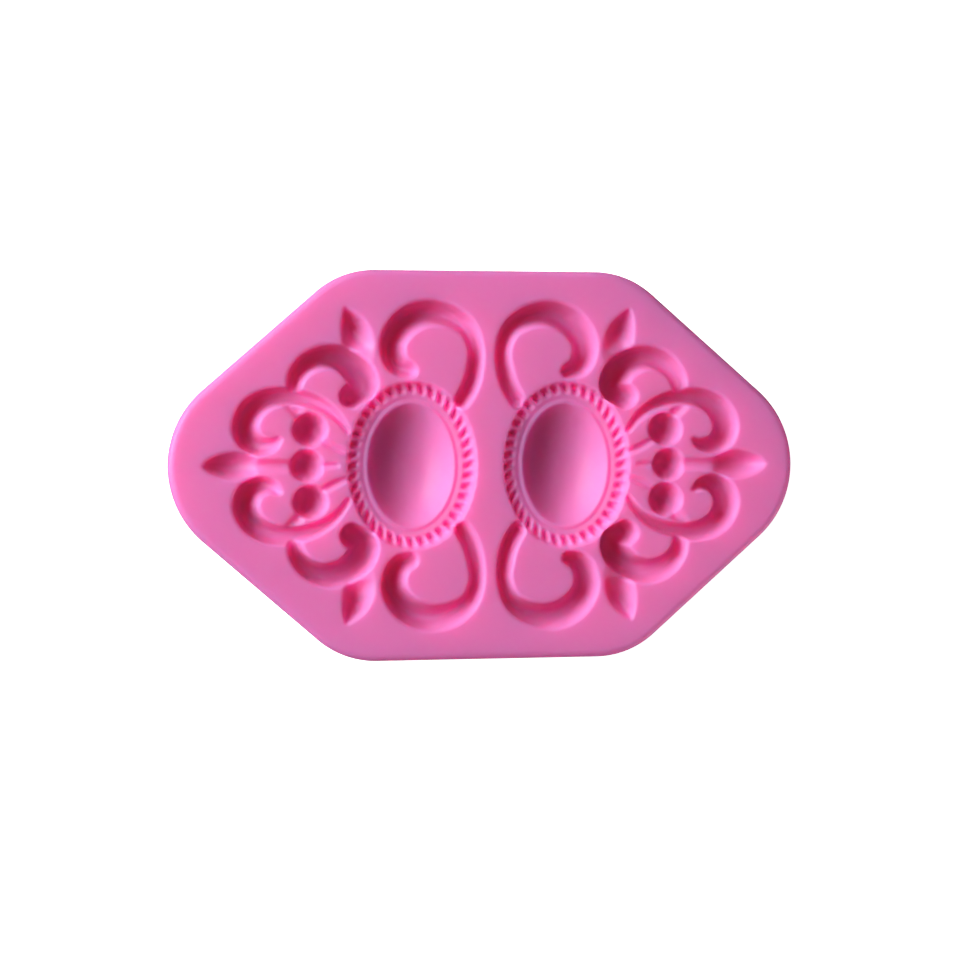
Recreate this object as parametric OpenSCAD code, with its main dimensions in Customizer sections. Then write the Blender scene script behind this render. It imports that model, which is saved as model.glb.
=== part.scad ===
// Flexible two-cavity casting mould: one slab of silicone whose top face
// holds two mirror-image brooch frames as open cavities. The slab is drawn
// as the two halves on either side of its fold line.
// Origin: centre of the base. +X along the length, +Z up. Millimetres.

/* [Slab] */
// Length of the slab, tip to tip
slab_length = 92; // [88:0.5:110]
// Width of the slab
slab_width = 56.2; // [54:0.1:70]
// Thickness of the slab
slab_height = 10; // [8:0.5:20]
// Radius of the two rounded tips
tip_radius = 14.2; // [10:0.1:16]
// Radius of the four blunt corners
corner_radius = 13; // [8:0.5:16]
// Angle between a sloping side and the length
side_angle = 41; // [38:0.5:44]

/* [Cameo] */
// Distance of each cameo from the middle of the pair of brooches
cameo_x = 11.4; // [11.2:0.1:12]
// How far the pair sits to the right of the fold line
pair_shift = 0.3; // [0:0.1:0.4]
// Half width of the cameo bowl
cameo_a = 6.35; // [5.5:0.05:6.6]
// Half height of the cameo bowl
cameo_b = 9; // [8:0.1:9.4]
// Depth of the cameo bowl below its lip
cameo_depth = 4.1; // [2.5:0.1:4.5]
// Depth of the border round the bowl, from the top face to the bowl's lip
border_depth = 0.7; // [0.4:0.05:1.2]
// Gap between the bowl and the middle of the teeth
border_gap = 2.2; // [2:0.05:2.3]
// Number of teeth in the border
tooth_count = 40; // [30:1:44]
// Half length of one tooth gap, across the border
tooth_half_length = 0.8; // [0.6:0.05:0.9]
// Radius of one tooth gap, a round bar sunk by half
tooth_radius = 0.5; // [0.4:0.05:0.55]

/* [Relief] */
// Depth of a channel for each millimetre of its half width
channel_slope = 2; // [1.5:0.1:2.2]
// Radius of the outer bead pits
bead_radius = 2.3; // [1.8:0.1:2.4]
// Radius of the middle bead pit
middle_bead_radius = 2.2; // [1.8:0.1:2.3]
// Depth of a bead pit for each millimetre of its radius
bead_stretch = 1.6; // [1:0.1:1.8]

/* [Hidden] */

// Cutting shapes rise this far above the top face
clearance = 1;
// Facets of the outline's arcs, the oval bowl and its groove, the round pits
// and the teeth
arc_facets = 96;
oval_facets = 48;
pit_facets = 32;
tooth_facets = 24;
// Rings that a channel has between two of its points, and in each round end
ring_steps = 2;
end_steps = 2;
// Cross-section of a channel, from side to side: x in half widths, y in depths
channel_profile = [
    [-1, 1], [-1, 0], [-0.72, -0.56], [-0.25, -0.97],
    [0.25, -0.97], [0.72, -0.56], [1, 0], [1, 1]
];
// Width and depth of the plain groove round the bowl, and its gap to the bowl
rim_groove_width = 0.5;
rim_groove_depth = 0.45;
rim_groove_gap = 0.5;

// Centre lines of the channels, as [distance from the middle of the pair,
// height above the brooch's axis, half width]. Each is cut again below the axis.
scroll_line = [
    [3.9, 9.4, 1], [2.9, 11.2, 1.05], [2.2, 13.4, 1.1], [2, 16.6, 1.1],
    [3.1, 19.6, 1.3], [5.6, 21.4, 1.6], [8.9, 21.95, 1.85], [12, 20.8, 2],
    [14, 18.3, 1.9], [14.1, 15.9, 1.75], [13.2, 14.3, 1.6]
];
side_scroll_line = [
    [28.5, 10.9, 0.9], [28, 12.9, 1.15], [26.4, 14.7, 1.4],
    [23.9, 15.6, 1.6], [21.2, 15.1, 1.85], [19.1, 13.3, 2.1],
    [18.5, 11.3, 2.05]
];
end_scroll_line = [
    [20.6, 4.9, 0.35], [22.4, 7.2, 0.6], [25, 8.9, 0.9], [28.2, 9.8, 1.15],
    [31.6, 9.7, 1.4], [34.2, 8.3, 1.65], [35.4, 6, 1.75], [35, 4, 1.7],
    [33.6, 2.9, 1.4], [31.8, 2.9, 0.9], [30.7, 3.7, 0.4]
];
leaf_line = [
    [20.9, 22.3, 0.3], [20.3, 20.9, 1.2], [19.6, 19.3, 2], [19.2, 17.7, 2.3],
    [19, 16.2, 2.2]
];
link_line = [[27.9, 7.6, 0.9], [29.2, 8.6, 0.7]];
vein_line = [[24.2, 3.5, 0.5], [22.4, 2.5, 0.55], [20.7, 1.8, 0.45]];
// The spear at the tip and the drop lie on the axis and are cut once
spear_line = [
    [41.1, 0, 0.4], [39.8, 0, 1.3], [38.2, 0, 1.9], [36.6, 0, 2.1],
    [35, 0, 1.7], [33.4, 0, 1], [29, 0, 0.95]
];
drop_line = [[23.9, 0, 0.5], [22.3, 0, 0.35]];
// Depth for each millimetre of half width of the smaller channels, and of the
// ends where the leaf and the spear fade out
shallow_slope = 1;
leaf_slope = 1.9;
leaf_end_slope = 0.4;
spear_slope = 1.6;
spear_end_slope = 0.8;

// Round pits, as [distance from the middle of the pair, height above the
// axis, radius, depth]: the curled ends of two scrolls, and the beads
curl_pits = [[11.7, 13.6, 1.2, 2.2], [20.1, 10, 1.8, 3.6]];
outer_bead = [26.2, 5.15, bead_radius, bead_stretch * bead_radius];
middle_bead = [26.7, 0, middle_bead_radius, bead_stretch * middle_bead_radius];

// Half outline of the slab, as tangent arcs and lines
half_length = slab_length / 2;
half_width = slab_width / 2;
side_normal = [sin(side_angle), cos(side_angle)];
tip_centre = [half_length - tip_radius, 0];
tip_tangent = tip_centre + tip_radius * side_normal;
corner_y = half_width - corner_radius;
corner_run = (corner_y - tip_tangent.y + corner_radius * side_normal.y) / tan(side_angle);
corner_centre = [
    tip_tangent.x - corner_radius * side_normal.x - corner_run,
    corner_y
];
corner_tangent = corner_centre + corner_radius * side_normal;

function flip_y(p) = [p.x, -p.y];
function along(p) = [p.x, p.y];
function unit(v) = v / norm(v);

// Smooth curve through the points of a line, with its half width
function curve_point(a, b, c, d, t) = 0.5 * (
    2 * b + (c - a) * t + (2 * a - 5 * b + 4 * c - d) * pow(t, 2)
    + (3 * b - a - 3 * c + d) * pow(t, 3)
);
function smooth(line) =
    let (
        last = len(line) - 1,
        ends = concat([2 * line[0] - line[1]], line, [2 * line[last] - line[last - 1]])
    )
    concat(
        [
            for (i = [0 : last - 1], k = [0 : ring_steps - 1])
                curve_point(ends[i], ends[i + 1], ends[i + 2], ends[i + 3], k / ring_steps)
        ],
        [line[last]]
    );

// Direction of a smooth line at one of its points
function heading(points, i) = unit(
    along(points[min(i + 1, len(points) - 1)]) - along(points[max(i - 1, 0)])
);

// Rings of a channel, as [centre, direction, half width, depth], with its ends round
function round_end(point, direction, turn, slope) =
    let (half = point[2], centre = along(point) + direction * half * sin(turn))
    [centre, direction, half * cos(turn), slope * half * cos(turn)];
function rings(points, slope, end_slope) =
    let (last = len(points) - 1, step = 80 / end_steps)
    concat(
        [
            for (k = [end_steps : -1 : 1])
                round_end(points[0], heading(points, 0), -k * step, slope)
        ],
        [
            for (i = [0 : last])
                let (here = slope + (end_slope - slope) * i / last)
                round_end(points[i], heading(points, i), 0, here)
        ],
        [
            for (k = [1 : end_steps])
                round_end(points[last], heading(points, last), k * step, end_slope)
        ]
    );
function ring_point(ring, q) = [
    ring[0].x - ring[1].y * ring[2] * q.x,
    ring[0].y + ring[1].x * ring[2] * q.x,
    slab_height + (q.y > 0 ? clearance : ring[3] * q.y)
];

// Place of a tooth on the border, spaced evenly along the ellipse
border_a = cameo_a + border_gap;
border_b = cameo_b + border_gap;
border_even = 45 / PI * (pow(border_b, 2) - pow(border_a, 2))
    / (pow(border_b, 2) + pow(border_a, 2));
function border_angle(i) =
    let (even = 360 * i / tooth_count)
    even - border_even * sin(2 * even);

// The slab's core, up to where its rounded ends and corners start
module core_outline() {
    polygon([
        [0, half_width],
        [corner_centre.x, half_width],
        corner_tangent,
        tip_tangent,
        flip_y(tip_tangent),
        flip_y(corner_tangent),
        [corner_centre.x, -half_width],
        [0, -half_width]
    ]);
}

// One half of the slab, uncut
module slab() {
    intersection() {
        union() {
            linear_extrude(slab_height)
                core_outline();
            translate(tip_centre)
                cylinder(slab_height, r = tip_radius, $fn = arc_facets);
            for (side = [-1, 1])
                translate([corner_centre.x, side * corner_centre.y, 0])
                    cylinder(slab_height, r = corner_radius, $fn = arc_facets);
        }
        translate([0, -slab_width, 0])
            cube([slab_length, slab_width * 2, slab_height]);
    }
}

// Round-bottomed channel along a line, whose slope may change towards its end
module channel(line, slope, end_slope = undef) {
    rings = rings(smooth(line), slope, is_undef(end_slope) ? slope : end_slope);
    sides = len(channel_profile);
    last = len(rings) - 1;
    polyhedron(
        points = [for (ring = rings, q = channel_profile) ring_point(ring, q)],
        faces = concat(
            [[for (k = [0 : sides - 1]) k]],
            [
                for (i = [0 : last - 1], k = [0 : sides - 1], half = [0, 1])
                    let (
                        a = i * sides + k,
                        b = i * sides + (k + 1) % sides
                    )
                    half == 0 ? [a, a + sides, b] : [b, a + sides, b + sides]
            ],
            [[for (k = [sides - 1 : -1 : 0]) last * sides + k]]
        ),
        convexity = 6
    );
}

module round_pit(pit) {
    translate([pit.x, pit.y, slab_height])
        scale([1, 1, pit[3] / pit[2]])
            sphere(pit[2], $fn = pit_facets);
}

module cameo_bowl() {
    translate([cameo_x, 0, slab_height - border_depth])
        scale([cameo_a, cameo_b, cameo_depth])
            sphere(1, $fn = oval_facets);
}

module ellipse(a, b) {
    scale([a, b])
        circle(1, $fn = oval_facets);
}

// Flat-floored recess that holds the bowl's lip and the teeth
module border_recess() {
    reach = border_gap + tooth_half_length;
    translate([cameo_x, 0, slab_height - border_depth])
        linear_extrude(border_depth + clearance)
            ellipse(cameo_a + reach, cameo_b + reach);
}

module rim_groove() {
    inner = rim_groove_gap - rim_groove_width / 2;
    outer = rim_groove_gap + rim_groove_width / 2;
    translate([cameo_x, 0, slab_height - border_depth - rim_groove_depth])
        linear_extrude(rim_groove_depth + border_depth / 2)
            difference() {
                ellipse(cameo_a + outer, cameo_b + outer);
                ellipse(cameo_a + inner, cameo_b + inner);
            }
}

// Gap between two teeth: a round bar that lies across the border
module tooth() {
    translate([-tooth_half_length, 0, 0])
        rotate([0, 90, 0])
            cylinder(2 * tooth_half_length, r = tooth_radius, $fn = tooth_facets);
}

module toothed_border() {
    for (i = [0 : tooth_count - 1]) {
        angle = border_angle(i);
        translate([
            cameo_x + border_a * cos(angle),
            border_b * sin(angle),
            slab_height - border_depth
        ])
            rotate(atan2(sin(angle) / border_b, cos(angle) / border_a))
                tooth();
    }
}

module upper_relief() {
    channel(scroll_line, channel_slope);
    channel(side_scroll_line, channel_slope);
    channel(end_scroll_line, channel_slope);
    channel(leaf_line, leaf_slope, leaf_end_slope);
    channel(link_line, shallow_slope);
    channel(vein_line, shallow_slope);
    for (pit = curl_pits)
        round_pit(pit);
    round_pit(outer_bead);
}

// Everything cut for one brooch
module brooch() {
    cameo_bowl();
    border_recess();
    rim_groove();
    toothed_border();
    upper_relief();
    mirror([0, 1, 0])
        upper_relief();
    channel(spear_line, spear_slope, spear_end_slope);
    channel(drop_line, shallow_slope);
    round_pit(middle_bead);
}

module half(shift) {
    difference() {
        slab();
        translate([shift, 0, 0])
            brooch();
    }
}

module right_half() {
    color("hotpink")
        half(pair_shift);
}

module left_half() {
    color("hotpink")
        mirror([1, 0, 0])
            half(-pair_shift);
}

left_half();
right_half();
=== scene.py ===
"""Silicone casting mould: one continuous skin over the two CAD halves, in a soft studio."""

import math

import bpy
import numpy as np
from mathutils import Matrix, Vector
from mathutils.geometry import delaunay_2d_cdt


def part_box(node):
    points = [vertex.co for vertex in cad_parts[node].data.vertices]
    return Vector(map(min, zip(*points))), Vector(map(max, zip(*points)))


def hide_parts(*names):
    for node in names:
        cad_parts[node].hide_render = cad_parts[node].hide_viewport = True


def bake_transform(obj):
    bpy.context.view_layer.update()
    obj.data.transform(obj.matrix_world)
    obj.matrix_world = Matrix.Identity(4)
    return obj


MM = 0.001

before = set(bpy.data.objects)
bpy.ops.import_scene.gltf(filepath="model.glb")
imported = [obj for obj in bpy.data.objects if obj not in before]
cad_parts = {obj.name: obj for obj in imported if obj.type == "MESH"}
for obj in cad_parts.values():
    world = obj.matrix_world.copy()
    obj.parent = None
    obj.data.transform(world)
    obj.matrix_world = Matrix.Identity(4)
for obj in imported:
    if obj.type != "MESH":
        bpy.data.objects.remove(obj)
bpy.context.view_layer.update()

# ---------------------------------------------------------------- sizes, in millimetres
low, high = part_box("right_half")
HALF_LENGTH = high[0] / MM
HALF_WIDTH = high[1] / MM
HEIGHT = high[2] / MM

# Outline: two round tips, four blunt corners and straight sides between them
TIP_RADIUS = 14.2
CORNER_RADIUS = 13.0
SIDE_ANGLE = math.radians(41)
# The walls lean in towards the base, below a broad, softly rounded top edge
WALL_LEAN = 0.6
WALL_RINGS = 4
TOP_EDGE_WIDTH = 1.1
TOP_EDGE_DROP = 0.9
TOP_EDGE_RINGS = 9
BASE_EDGE_RADIUS = 0.3
BASE_EDGE_RINGS = 4

# How far the pair of brooches sits to the right of the fold line
PAIR_SHIFT = 0.3
# Cameo: its distance from the middle of the pair, half width, half height and depth
CAMEO_X = 11.4
CAMEO_A = 6.35
CAMEO_B = 9.0
CAMEO_DEPTH = 3.9
# Roundness of the bowl's floor: 2 is a parabola and more is flatter
CAMEO_POWER = 2.5
# Border round the bowl's lip, as [distance outside the lip, depth]
BORDER = [
    [-0.6, 1.05],
    [-0.2, 1.1],
    [0.15, 1.1],
    [0.35, 1.3],
    [0.5, 1.4],
    [0.65, 1.37],
    [0.9, 1.2],
    [1.6, 1.05],
    [2.75, 0.75],
    [3.05, 0.0],
]
# Teeth of the border: gaps cut across it, leaning along it as they go outwards. The
# share and the sharpness set how much of each pitch is gap, and how steep its sides are.
TEETH_OFFSET = 2.2
TEETH_HALF_WIDTH = 0.8
TEETH_DEPTH = 1.0
TEETH_POWER = 2.5
TOOTH_COUNT = 40
TOOTH_LEAN = 0.4
TOOTH_GAP_SHARE = 0.5
TOOTH_GAP_SHARPNESS = 0.75

# Centre lines of the channels: [distance from the middle of the pair of brooches,
# height above their axis, half width]. They repeat below the axis and on the far side.
SCROLL = [
    [4.1, 9.3, 1.2],
    [3.0, 11.2, 1.25],
    [2.3, 13.4, 1.2],
    [2.0, 16.6, 1.1],
    [3.1, 19.6, 1.3],
    [5.6, 21.4, 1.6],
    [8.9, 21.95, 1.85],
    [12.0, 20.8, 2.0],
    [14.0, 18.3, 1.9],
    [14.1, 15.9, 1.75],
    [13.2, 14.3, 1.5],
    [11.7, 13.6, 1.1],
]
SIDE_SCROLL = [
    [28.5, 10.9, 0.9],
    [28.0, 12.9, 1.15],
    [26.4, 14.7, 1.4],
    [23.9, 15.6, 1.6],
    [21.2, 15.1, 1.85],
    [19.1, 13.3, 2.1],
    [18.5, 11.3, 2.05],
    [20.1, 10.0, 1.8],
]
END_SCROLL = [
    [20.6, 4.9, 0.35],
    [22.4, 7.2, 0.6],
    [25.0, 8.9, 0.9],
    [28.2, 9.8, 1.15],
    [31.6, 9.7, 1.4],
    [34.2, 8.3, 1.65],
    [35.4, 6.0, 1.75],
    [35.0, 4.0, 1.7],
    [33.6, 2.9, 1.4],
    [31.8, 2.9, 0.9],
    [30.7, 3.7, 0.4],
]
LEAF = [
    [20.9, 22.3, 0.3],
    [20.3, 20.9, 1.2],
    [19.6, 19.3, 2.0],
    [19.2, 17.7, 2.3],
    [19.0, 16.2, 2.2],
]
LINK = [[27.9, 7.6, 0.9], [29.2, 8.6, 0.7]]
VEIN = [[24.2, 3.5, 0.5], [22.4, 2.5, 0.55], [20.7, 1.8, 0.45]]
DROP = [[23.9, 0.0, 0.5], [22.3, 0.0, 0.35]]
SPEAR = [
    [41.1, 0.0, 0.4],
    [39.8, 0.0, 1.3],
    [38.2, 0.0, 1.9],
    [36.6, 0.0, 2.1],
    [35.0, 0.0, 1.7],
    [33.4, 0.0, 1.0],
    [29.0, 0.0, 0.95],
]
# Channels, as [centre line, depth for each millimetre of half width at its start and
# at its end, roundness of the floor: 2 is a parabola and more is flatter]
CHANNELS = [
    [SCROLL, (2.0, 2.0), 2.0],
    [SIDE_SCROLL, (2.2, 2.2), 3.5],
    [END_SCROLL, (2.1, 2.1), 3.0],
    [LEAF, (2.4, 0.2), 2.0],
    [LINK, (0.8, 0.8), 2.0],
    [VEIN, (1.3, 1.3), 2.0],
    [DROP, (1.3, 1.3), 2.0],
    [SPEAR, (1.6, 0.8), 2.0],
]
# Bead pits: [distance from the middle, height above the axis, radius]
BEADS = [[26.2, 5.15, 2.3], [26.7, 0.0, 2.2]]
# Depth of a bead pit for each millimetre of its radius
BEAD_STRETCH = 1.6

# Rounding of every channel's lip, and of the crease where two channels cross
LIP_RADIUS = 0.18
BLEND_DEPTH = 0.25
STEPS_BETWEEN_POINTS = 10
SMOOTHING_PASSES = 1

# Grid of the top face: the finest cells are round the cameo's teeth, out to FINE_X and
# FINE_Y, and the middling ones reach RELIEF_X and RELIEF_Y. A strip at the rim has none.
FINE_CELL = 0.18
MIDDLE_CELL = 0.25
EDGE_CELL = 0.5
FINE_X = 22.0
FINE_Y = 13.0
RELIEF_X = 42.0
RELIEF_Y = 25.0
RIM_STRIP = 1.8
OUTLINE_STEP = 0.5
# Points closer than this are one point, and it keeps divisions off zero. The tolerance
# of the rim's triangles is finer still.
SAME_POINT = 1e-6
TRIANGLE_TOLERANCE = 1e-7


# ---------------------------------------------------------------- outline
def outline_points():
    """Outline of the slab, anticlockwise, with the outward normal of each point."""
    normal = np.array([math.sin(SIDE_ANGLE), math.cos(SIDE_ANGLE)])
    tip = np.array([HALF_LENGTH - TIP_RADIUS, 0.0])
    corner_y = HALF_WIDTH - CORNER_RADIUS
    side_reach = (tip + TIP_RADIUS * normal) @ normal
    corner_x = (side_reach - CORNER_RADIUS - corner_y * normal[1]) / normal[0]
    corner = np.array([corner_x, corner_y])
    side_turn = math.atan2(normal[1], normal[0])

    quarter = []
    arcs = [(tip, TIP_RADIUS, 0.0, side_turn), (corner, CORNER_RADIUS, side_turn, math.pi / 2)]
    for centre, radius, start, end in arcs:
        count = max(2, round(radius * (end - start) / OUTLINE_STEP))
        for turn in np.linspace(start, end, count):
            direction = np.array([math.cos(turn), math.sin(turn)])
            quarter.append((centre + radius * direction, direction))
    quarter = with_straights(quarter)
    points = np.array([p for p, _ in quarter])
    normals = np.array([n for _, n in quarter])

    flip = np.array([-1.0, 1.0])
    upper = np.vstack([points, (points * flip)[::-1]])
    upper_normals = np.vstack([normals, (normals * flip)[::-1]])
    points = np.vstack([upper, -upper])
    normals = np.vstack([upper_normals, -upper_normals])
    keep = np.linalg.norm(points - np.roll(points, 1, axis=0), axis=1) > SAME_POINT
    return points[keep], normals[keep]


def with_straights(quarter):
    """Adds points along the straight stretches of a quarter outline."""
    end = (np.array([0.0, HALF_WIDTH]), np.array([0.0, 1.0]))
    filled = []
    for (a, na), (b, nb) in zip(quarter, quarter[1:] + [end]):
        steps = max(1, round(np.linalg.norm(b - a) / OUTLINE_STEP))
        for k in range(steps):
            t = k / steps
            filled.append((a + (b - a) * t, na + (nb - na) * t))
    return filled + [end]


# ---------------------------------------------------------------- relief
def smooth_line(points):
    """Catmull-Rom curve through the points of a centre line."""
    line = np.array(points, float)
    ends = np.vstack([2 * line[0] - line[1], line, 2 * line[-1] - line[-2]])
    curve = []
    for a, b, c, d in zip(ends, ends[1:], ends[2:], ends[3:]):
        for t in np.arange(STEPS_BETWEEN_POINTS) / STEPS_BETWEEN_POINTS:
            cubic = (3 * b - a - 3 * c + d) * t**3
            square = (2 * a - 5 * b + 4 * c - d) * t**2
            curve.append(0.5 * (2 * b + (c - a) * t + square + cubic))
    curve.append(line[-1])
    return np.array(curve)


def soft_edge(inside):
    """Distance inside a lip, with the lip rounded and nothing beyond it."""
    rounded = (inside + LIP_RADIUS) ** 2 / (4 * LIP_RADIUS)
    return np.where(inside > LIP_RADIUS, inside, np.where(inside < -LIP_RADIUS, 0, rounded))


def round_bottom(share, half_width, depth, power):
    """Depth of a round-bottomed cut at a share of its half width from its middle."""
    inside = soft_edge((1 - share) * half_width)
    share = np.clip(1 - inside / half_width, 0, 1)
    return depth * (1 - share**power)


def channel(cut, x, y):
    """Depth of a channel that follows a centre line."""
    points, slopes, power = cut
    curve = smooth_line(points)
    reach = curve[:, 2].max() + LIP_RADIUS
    near = (x > curve[:, 0].min() - reach) & (x < curve[:, 0].max() + reach)
    near &= (y > curve[:, 1].min() - reach) & (y < curve[:, 1].max() + reach)
    px, py = x[near], y[near]
    share = np.full(px.shape, np.inf)
    half = np.ones(px.shape)
    slope = np.ones(px.shape)
    steps = np.linspace(*slopes, len(curve))
    for a, b, steep in zip(curve, curve[1:], steps):
        run = b[:2] - a[:2]
        t = ((px - a[0]) * run[0] + (py - a[1]) * run[1]) / (run @ run)
        t = np.clip(t, 0, 1)
        gap = np.hypot(px - a[0] - t * run[0], py - a[1] - t * run[1])
        width = a[2] + t * (b[2] - a[2])
        closer = gap / width < share
        share = np.where(closer, gap / width, share)
        half = np.where(closer, width, half)
        slope = np.where(closer, steep, slope)
    result = np.zeros(x.shape)
    result[near] = round_bottom(share, half, slope * half, power)
    return result


def bead(spot, x, y):
    """Depth of a bead pit: half a ball, drawn out downwards."""
    radius = spot[2]
    inside = soft_edge(radius - np.hypot(x - spot[0], y - spot[1]))
    return BEAD_STRETCH * np.sqrt(np.clip(radius**2 - (radius - inside) ** 2, 0, None))


def smooth_step(value):
    """Rises smoothly from 0 to 1, with level ends."""
    value = np.clip(value, 0, 1)
    return value * value * (3 - 2 * value)


def cameo(x, y):
    """Depth of the bowl, the groove round it and the teeth of its border."""
    x = x - CAMEO_X
    dx, dy = x / CAMEO_A, y / CAMEO_B
    share = np.hypot(dx, dy)
    slope = np.hypot(dx / CAMEO_A, dy / CAMEO_B) / np.maximum(share, SAME_POINT)
    offset = (share - 1) / np.maximum(slope, SAME_POINT)

    where, deep = np.array(BORDER).T
    ledge = np.interp(offset, where, deep)
    bowl = round_bottom(share, CAMEO_A, CAMEO_DEPTH, CAMEO_POWER)
    return ledge + bowl + teeth(x, y, offset - TEETH_OFFSET)


def teeth(x, y, across):
    """Depth of the leaning gaps between the border's teeth, spaced evenly along it."""
    a, b = CAMEO_A + TEETH_OFFSET, CAMEO_B + TEETH_OFFSET
    turn = np.arctan2(y / b, x / a)
    even = turn + (b * b - a * a) / (4 * (a * a + b * b)) * np.sin(2 * turn)
    pitch = math.sqrt((a * a + b * b) / 2) * 2 * math.pi / TOOTH_COUNT
    wave = np.cos(TOOTH_COUNT * even - 2 * math.pi * across * TOOTH_LEAN / pitch)
    gap = smooth_step(TOOTH_GAP_SHARE + TOOTH_GAP_SHARPNESS * wave)
    share = np.abs(across) / TEETH_HALF_WIDTH
    return gap * round_bottom(share, TEETH_HALF_WIDTH, TEETH_DEPTH, TEETH_POWER)


def soft_max(a, b):
    """Larger of two depths, blended where they are nearly the same."""
    mix = np.clip(0.5 + 0.5 * (a - b) / BLEND_DEPTH, 0, 1)
    both = (a > 0) & (b > 0)
    return np.where(both, b + (a - b) * mix + BLEND_DEPTH * mix * (1 - mix), np.maximum(a, b))


def relief_depth(x, y):
    """Depth of the top face at each point, in millimetres."""
    x = x - PAIR_SHIFT
    side, up = np.abs(x), np.abs(y)
    depth = np.zeros(x.shape)
    for cut in CHANNELS:
        depth = soft_max(depth, channel(cut, side, up))
    for spot in BEADS:
        depth = np.maximum(depth, bead(spot, side, up))
    turned = np.where(x < 0, -1.0, 1.0)
    return np.maximum(depth, cameo(side, y * turned))


# ---------------------------------------------------------------- mesh
def grid_lines(fine_end, relief_end, edge):
    """Grid positions from the middle outwards, mirrored: fine, then middling, then coarse."""
    spans = [(0, fine_end, FINE_CELL), (fine_end, relief_end, MIDDLE_CELL)]
    spans.append((relief_end, edge, EDGE_CELL))
    lines = [np.zeros(1)]
    for start, end, cell in spans:
        count = max(1, round((end - start) / cell))
        lines.append(np.linspace(start, end, count + 1)[1:])
    half = np.concatenate(lines)
    return np.concatenate([-half[:0:-1], half])


def inside_outline(points, normals, x, y, margin):
    """Is a point inside the convex outline by at least a margin?"""
    inside = np.ones(x.shape, bool)
    for p, n in zip(points, normals):
        inside &= (x - p[0]) * n[0] + (y - p[1]) * n[1] < -margin
    return inside


def smoothed(depth):
    """Depths of a grid averaged with their neighbours, so that creases are soft."""
    for _ in range(SMOOTHING_PASSES):
        for axis in (0, 1):
            beside = np.roll(depth, 1, axis) + np.roll(depth, -1, axis)
            depth = depth / 2 + beside / 4
    return depth


def top_grid(points, normals):
    """Vertices, depths and quads of the relief's grid."""
    xs = grid_lines(FINE_X, RELIEF_X, HALF_LENGTH)
    ys = grid_lines(FINE_Y, RELIEF_Y, HALF_WIDTH)
    gx, gy = np.meshgrid(xs, ys, indexing="ij")
    kept = inside_outline(points, normals, gx, gy, RIM_STRIP)
    cells = kept[:-1, :-1] & kept[1:, :-1] & kept[:-1, 1:] & kept[1:, 1:]
    used = np.zeros(kept.shape, bool)
    for di in (0, 1):
        for dj in (0, 1):
            used[di : used.shape[0] - 1 + di, dj : used.shape[1] - 1 + dj] |= cells
    index = np.full(kept.shape, -1)
    index[used] = np.arange(used.sum())
    i, j = np.nonzero(cells)
    quads = np.stack([index[i, j], index[i + 1, j], index[i + 1, j + 1], index[i, j + 1]], -1)
    depth = smoothed(relief_depth(gx, gy))
    return gx[used], gy[used], depth[used], quads


def edge_loops(quads):
    """Edges of the grid that only one quad uses, as pairs of vertices."""
    pairs = np.vstack([quads[:, [k, (k + 1) % 4]] for k in range(4)])
    ordered = np.sort(pairs, axis=1)
    _, first, count = np.unique(ordered, axis=0, return_index=True, return_counts=True)
    return pairs[first[count == 1]]


def mould_mesh():
    """The whole mould as one closed mesh, in metres."""
    points, normals = outline_points()
    gx, gy, depth, quads = top_grid(points, normals)
    verts = [np.stack([gx, gy, HEIGHT - depth], -1)]
    faces = [tuple(q) for q in quads.tolist()]

    rings, first = [], len(gx)
    for inset, z in wall_profile():
        ring = points - normals * inset
        verts.append(np.column_stack([ring, np.full(len(ring), z)]))
        rings.append(first + np.arange(len(ring)))
        first += len(ring)
    for upper, lower in zip(rings, rings[1:]):
        a, b = upper, np.roll(upper, -1)
        c, d = np.roll(lower, -1), lower
        faces += [tuple(f) for f in np.stack([a, d, c, b], -1).tolist()]
    faces += rim_faces(np.vstack(verts), rings[0], edge_loops(quads))
    faces += base_faces(rings[-1])

    mesh = bpy.data.meshes.new("mould_body")
    mesh.from_pydata((np.vstack(verts) * MM).tolist(), [], faces)
    mesh.validate()
    mesh.update()
    mesh.shade_smooth()
    return mesh


def wall_profile():
    """Inset and height of each ring down the side, from the top edge to the base."""
    profile = []
    for turn in np.linspace(0, math.pi / 2, TOP_EDGE_RINGS):
        inset = TOP_EDGE_WIDTH * (1 - math.sin(turn))
        profile.append((inset, HEIGHT - TOP_EDGE_DROP * (1 - math.cos(turn))))
    wall_top = HEIGHT - TOP_EDGE_DROP
    for share in np.arange(1, WALL_RINGS + 1) / WALL_RINGS:
        z = wall_top - share * (wall_top - BASE_EDGE_RADIUS)
        profile.append((WALL_LEAN * share, z))
    for turn in np.linspace(0, math.pi / 2, BASE_EDGE_RINGS)[1:]:
        inset = WALL_LEAN + BASE_EDGE_RADIUS * (1 - math.cos(turn))
        profile.append((inset, BASE_EDGE_RADIUS * (1 - math.sin(turn))))
    return profile


def base_faces(ring):
    """Strips across the base, each from the ring's upper half to its lower half."""
    ring = np.roll(ring, 1)
    half = len(ring) // 2 + 1
    upper, lower = ring[:half].tolist(), np.roll(ring[::-1], 1)[:half].tolist()
    strips = zip(upper, lower, lower[1:], upper[1:])
    return [tuple(dict.fromkeys(strip)) for strip in strips]


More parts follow.
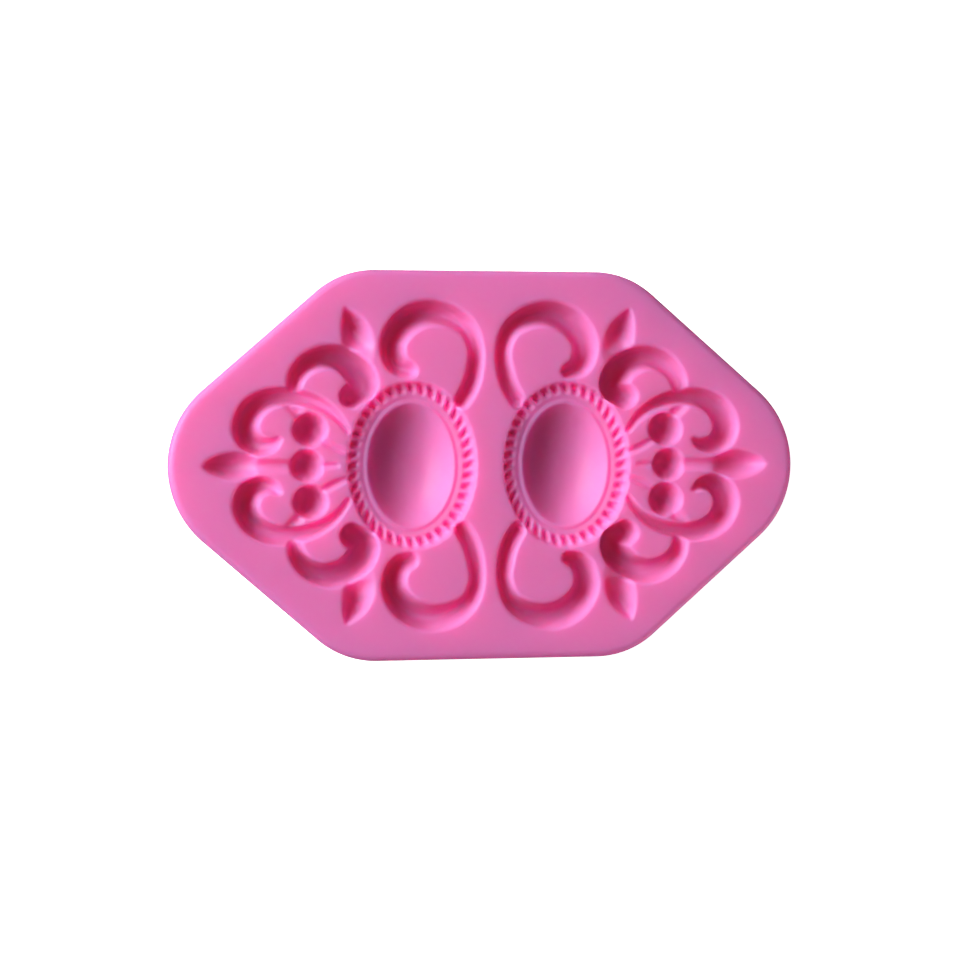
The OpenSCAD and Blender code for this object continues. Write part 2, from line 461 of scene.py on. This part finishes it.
def rim_faces(verts, ring, grid_edges):
    """Triangles of the flat strip between the relief's grid and the slab's top edge."""
    inner = np.unique(grid_edges)
    names = np.concatenate([ring, inner])
    place = {name: k for k, name in enumerate(names.tolist())}
    flat = [Vector((float(verts[n, 0]), float(verts[n, 1]))) for n in names]
    edges = [(k, (k + 1) % len(ring)) for k in range(len(ring))]
    edges += [(place[a], place[b]) for a, b in grid_edges.tolist()]
    _, _, out_faces, origins, _, _ = delaunay_2d_cdt(flat, edges, [], 1, TRIANGLE_TOLERANCE)
    whose = [names[o[0]] for o in origins]
    is_ring = {int(n) for n in ring}
    directed = {(a, b) for a, b in grid_edges.tolist()}
    faces = []
    for face in out_faces:
        ids = [int(whose[k]) for k in face]
        if fills_grid(ids, is_ring, directed):
            continue
        faces.append(tuple(ids))
    return faces


def fills_grid(ids, is_ring, directed):
    """Does a triangle lie over the grid rather than in the strip outside it?"""
    if any(i in is_ring for i in ids):
        return False
    sides = {(ids[k], ids[(k + 1) % 3]) for k in range(3)}
    return bool(sides & directed) or not any((b, a) in directed for a, b in sides)


# ---------------------------------------------------------------- material
PALE_PINK = (0.675, 0.162, 0.425, 1)
DEEP_PINK = (0.65, 0.147, 0.395, 1)
# How many times higher the slow ripples are than the fine grain
RIPPLE_SHARE = 4.0


def node(tree, kind, **values):
    """A shader node with some of its inputs set."""
    made = tree.nodes.new(kind)
    for name, value in values.items():
        made.inputs[name.replace("_", " ")].default_value = value
    return made


def noise(tree, place, scale, detail):
    """Noise at each place on the object."""
    made = node(tree, "ShaderNodeTexNoise", Scale=scale, Detail=detail)
    tree.links.new(place, made.inputs["Vector"])
    return made.outputs["Fac"]


def silicone():
    """Pink cast silicone: satin, slightly translucent, with faint ripples."""
    material = bpy.data.materials.new("pink_silicone")
    material.use_nodes = True
    tree = material.node_tree
    tree.nodes.clear()
    link = tree.links.new
    place = tree.nodes.new("ShaderNodeTexCoord").outputs["Object"]

    cloud = noise(tree, place, 60.0, 3.0)
    tint = tree.nodes.new("ShaderNodeMix")
    tint.data_type = "RGBA"
    tint.inputs["A"].default_value = DEEP_PINK
    tint.inputs["B"].default_value = PALE_PINK
    link(cloud, tint.inputs["Factor"])

    smear = noise(tree, place, 400.0, 4.0)
    shine = node(tree, "ShaderNodeMapRange", From_Min=0.3, From_Max=0.7, To_Min=0.36, To_Max=0.48)
    link(smear, shine.inputs["Value"])

    grain = noise(tree, place, 1500.0, 2.0)
    ripple = noise(tree, place, 220.0, 2.0)
    heights = tree.nodes.new("ShaderNodeMath")
    heights.operation = "MULTIPLY_ADD"
    heights.inputs[1].default_value = RIPPLE_SHARE
    link(ripple, heights.inputs[0])
    link(grain, heights.inputs[2])
    bump = node(tree, "ShaderNodeBump", Strength=0.25, Distance=0.00003)
    link(heights.outputs[0], bump.inputs["Height"])

    shader = node(
        tree,
        "ShaderNodeBsdfPrincipled",
        IOR=1.41,
        Specular_IOR_Level=0.25,
        Subsurface_Weight=1.0,
        Subsurface_Radius=(1.0, 0.1, 0.22),
        Subsurface_Scale=0.008,
    )
    shader.subsurface_method = "BURLEY"
    link(tint.outputs["Result"], shader.inputs["Base Color"])
    link(shine.outputs["Result"], shader.inputs["Roughness"])
    link(bump.outputs["Normal"], shader.inputs["Normal"])
    output = tree.nodes.new("ShaderNodeOutputMaterial")
    link(shader.outputs["BSDF"], output.inputs["Surface"])
    return material


def white_paper():
    """Pale, almost shadowless ground."""
    material = bpy.data.materials.new("white_ground")
    material.use_nodes = True
    tree = material.node_tree
    shader = tree.nodes["Principled BSDF"]
    speckle = node(tree, "ShaderNodeTexNoise", Scale=30.0, Detail=2.0)
    tone = node(tree, "ShaderNodeMapRange", To_Min=0.86, To_Max=0.9)
    tree.links.new(speckle.outputs["Fac"], tone.inputs["Value"])
    tree.links.new(tone.outputs["Result"], shader.inputs["Base Color"])
    shader.inputs["Roughness"].default_value = 0.9
    shader.inputs["Emission Color"].default_value = (1, 1, 1, 1)
    shader.inputs["Emission Strength"].default_value = 1.0
    return material


# ---------------------------------------------------------------- stage, lights, camera
# Lengths here are in metres and powers in watts. The lens is in millimetres, and its
# shift is a share of the picture's width.
GROUND_HALF = 1.5
KEY_PLACE = (-0.74, 0.3, 0.4)
KEY_SIZE = (0.9, 0.6)
KEY_WATTS = 19.6
FILL_PLACE = (0.7, -0.45, 0.04)
FILL_SIZE = (0.5, 0.06)
FILL_WATTS = 4.0
WORLD_STRENGTH = 0.1
CAMERA_DISTANCE = 0.36
CAMERA_TILT = math.radians(11.4)
CAMERA_ROLL = math.radians(0.3)
CAMERA_LENS = 93.4
CAMERA_SHIFT = (-0.0083, -0.0158)


def ground():
    """White floor that neither tints the mould nor shows in its shine."""
    half = GROUND_HALF
    mesh = bpy.data.meshes.new("ground")
    corners = [(-half, -half, 0), (half, -half, 0), (half, half, 0), (-half, half, 0)]
    mesh.from_pydata(corners, [], [(0, 1, 2, 3)])
    plane = bpy.data.objects.new("ground", mesh)
    bpy.context.collection.objects.link(plane)
    mesh.materials.append(white_paper())
    plane.visible_diffuse = False
    plane.visible_glossy = False


def area_light(name, place, size, watts):
    """Rectangular light that faces the middle of the mould."""
    light = bpy.data.lights.new(name, "AREA")
    light.shape = "RECTANGLE"
    light.size, light.size_y = size
    light.energy = watts
    lamp = bpy.data.objects.new(name, light)
    lamp.location = place
    lamp.rotation_euler = (-Vector(place)).to_track_quat("-Z", "Y").to_euler()
    bpy.context.collection.objects.link(lamp)


def studio():
    """A large low key from the left, a grazing fill for the right walls, a faint world."""
    area_light("key", KEY_PLACE, KEY_SIZE, KEY_WATTS)
    area_light("fill", FILL_PLACE, FILL_SIZE, FILL_WATTS)
    world = bpy.data.worlds.new("studio")
    world.use_nodes = True
    background = world.node_tree.nodes["Background"]
    background.inputs["Color"].default_value = (1, 1, 1, 1)
    background.inputs["Strength"].default_value = WORLD_STRENGTH
    bpy.context.scene.world = world
    bpy.context.scene.view_settings.view_transform = "Standard"


def camera():
    """Almost straight above, from a little to the left."""
    lens = bpy.data.cameras.new("camera")
    lens.lens = CAMERA_LENS
    lens.shift_x, lens.shift_y = CAMERA_SHIFT
    lens.clip_start = 0.01
    eye = bpy.data.objects.new("camera", lens)
    back = Vector((-math.sin(CAMERA_TILT), 0, math.cos(CAMERA_TILT)))
    up = Vector((0, 1, 0))
    right = up.cross(back)
    axes = Matrix((right, up, back)).transposed()
    axes = axes @ Matrix.Rotation(-CAMERA_ROLL, 3, "Z")
    eye.matrix_world = Matrix.Translation(
        Vector((0, 0, HEIGHT * MM)) + CAMERA_DISTANCE * back
    ) @ axes.to_4x4()
    bpy.context.collection.objects.link(eye)
    bpy.context.scene.camera = eye


camera()
ground()
studio()

# ---------------------------------------------------------------- the mould
mould = bpy.data.objects.new("mould_body", mould_mesh())
bpy.context.collection.objects.link(mould)
mould.data.materials.append(silicone())
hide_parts("left_half", "right_half")
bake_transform(mould)
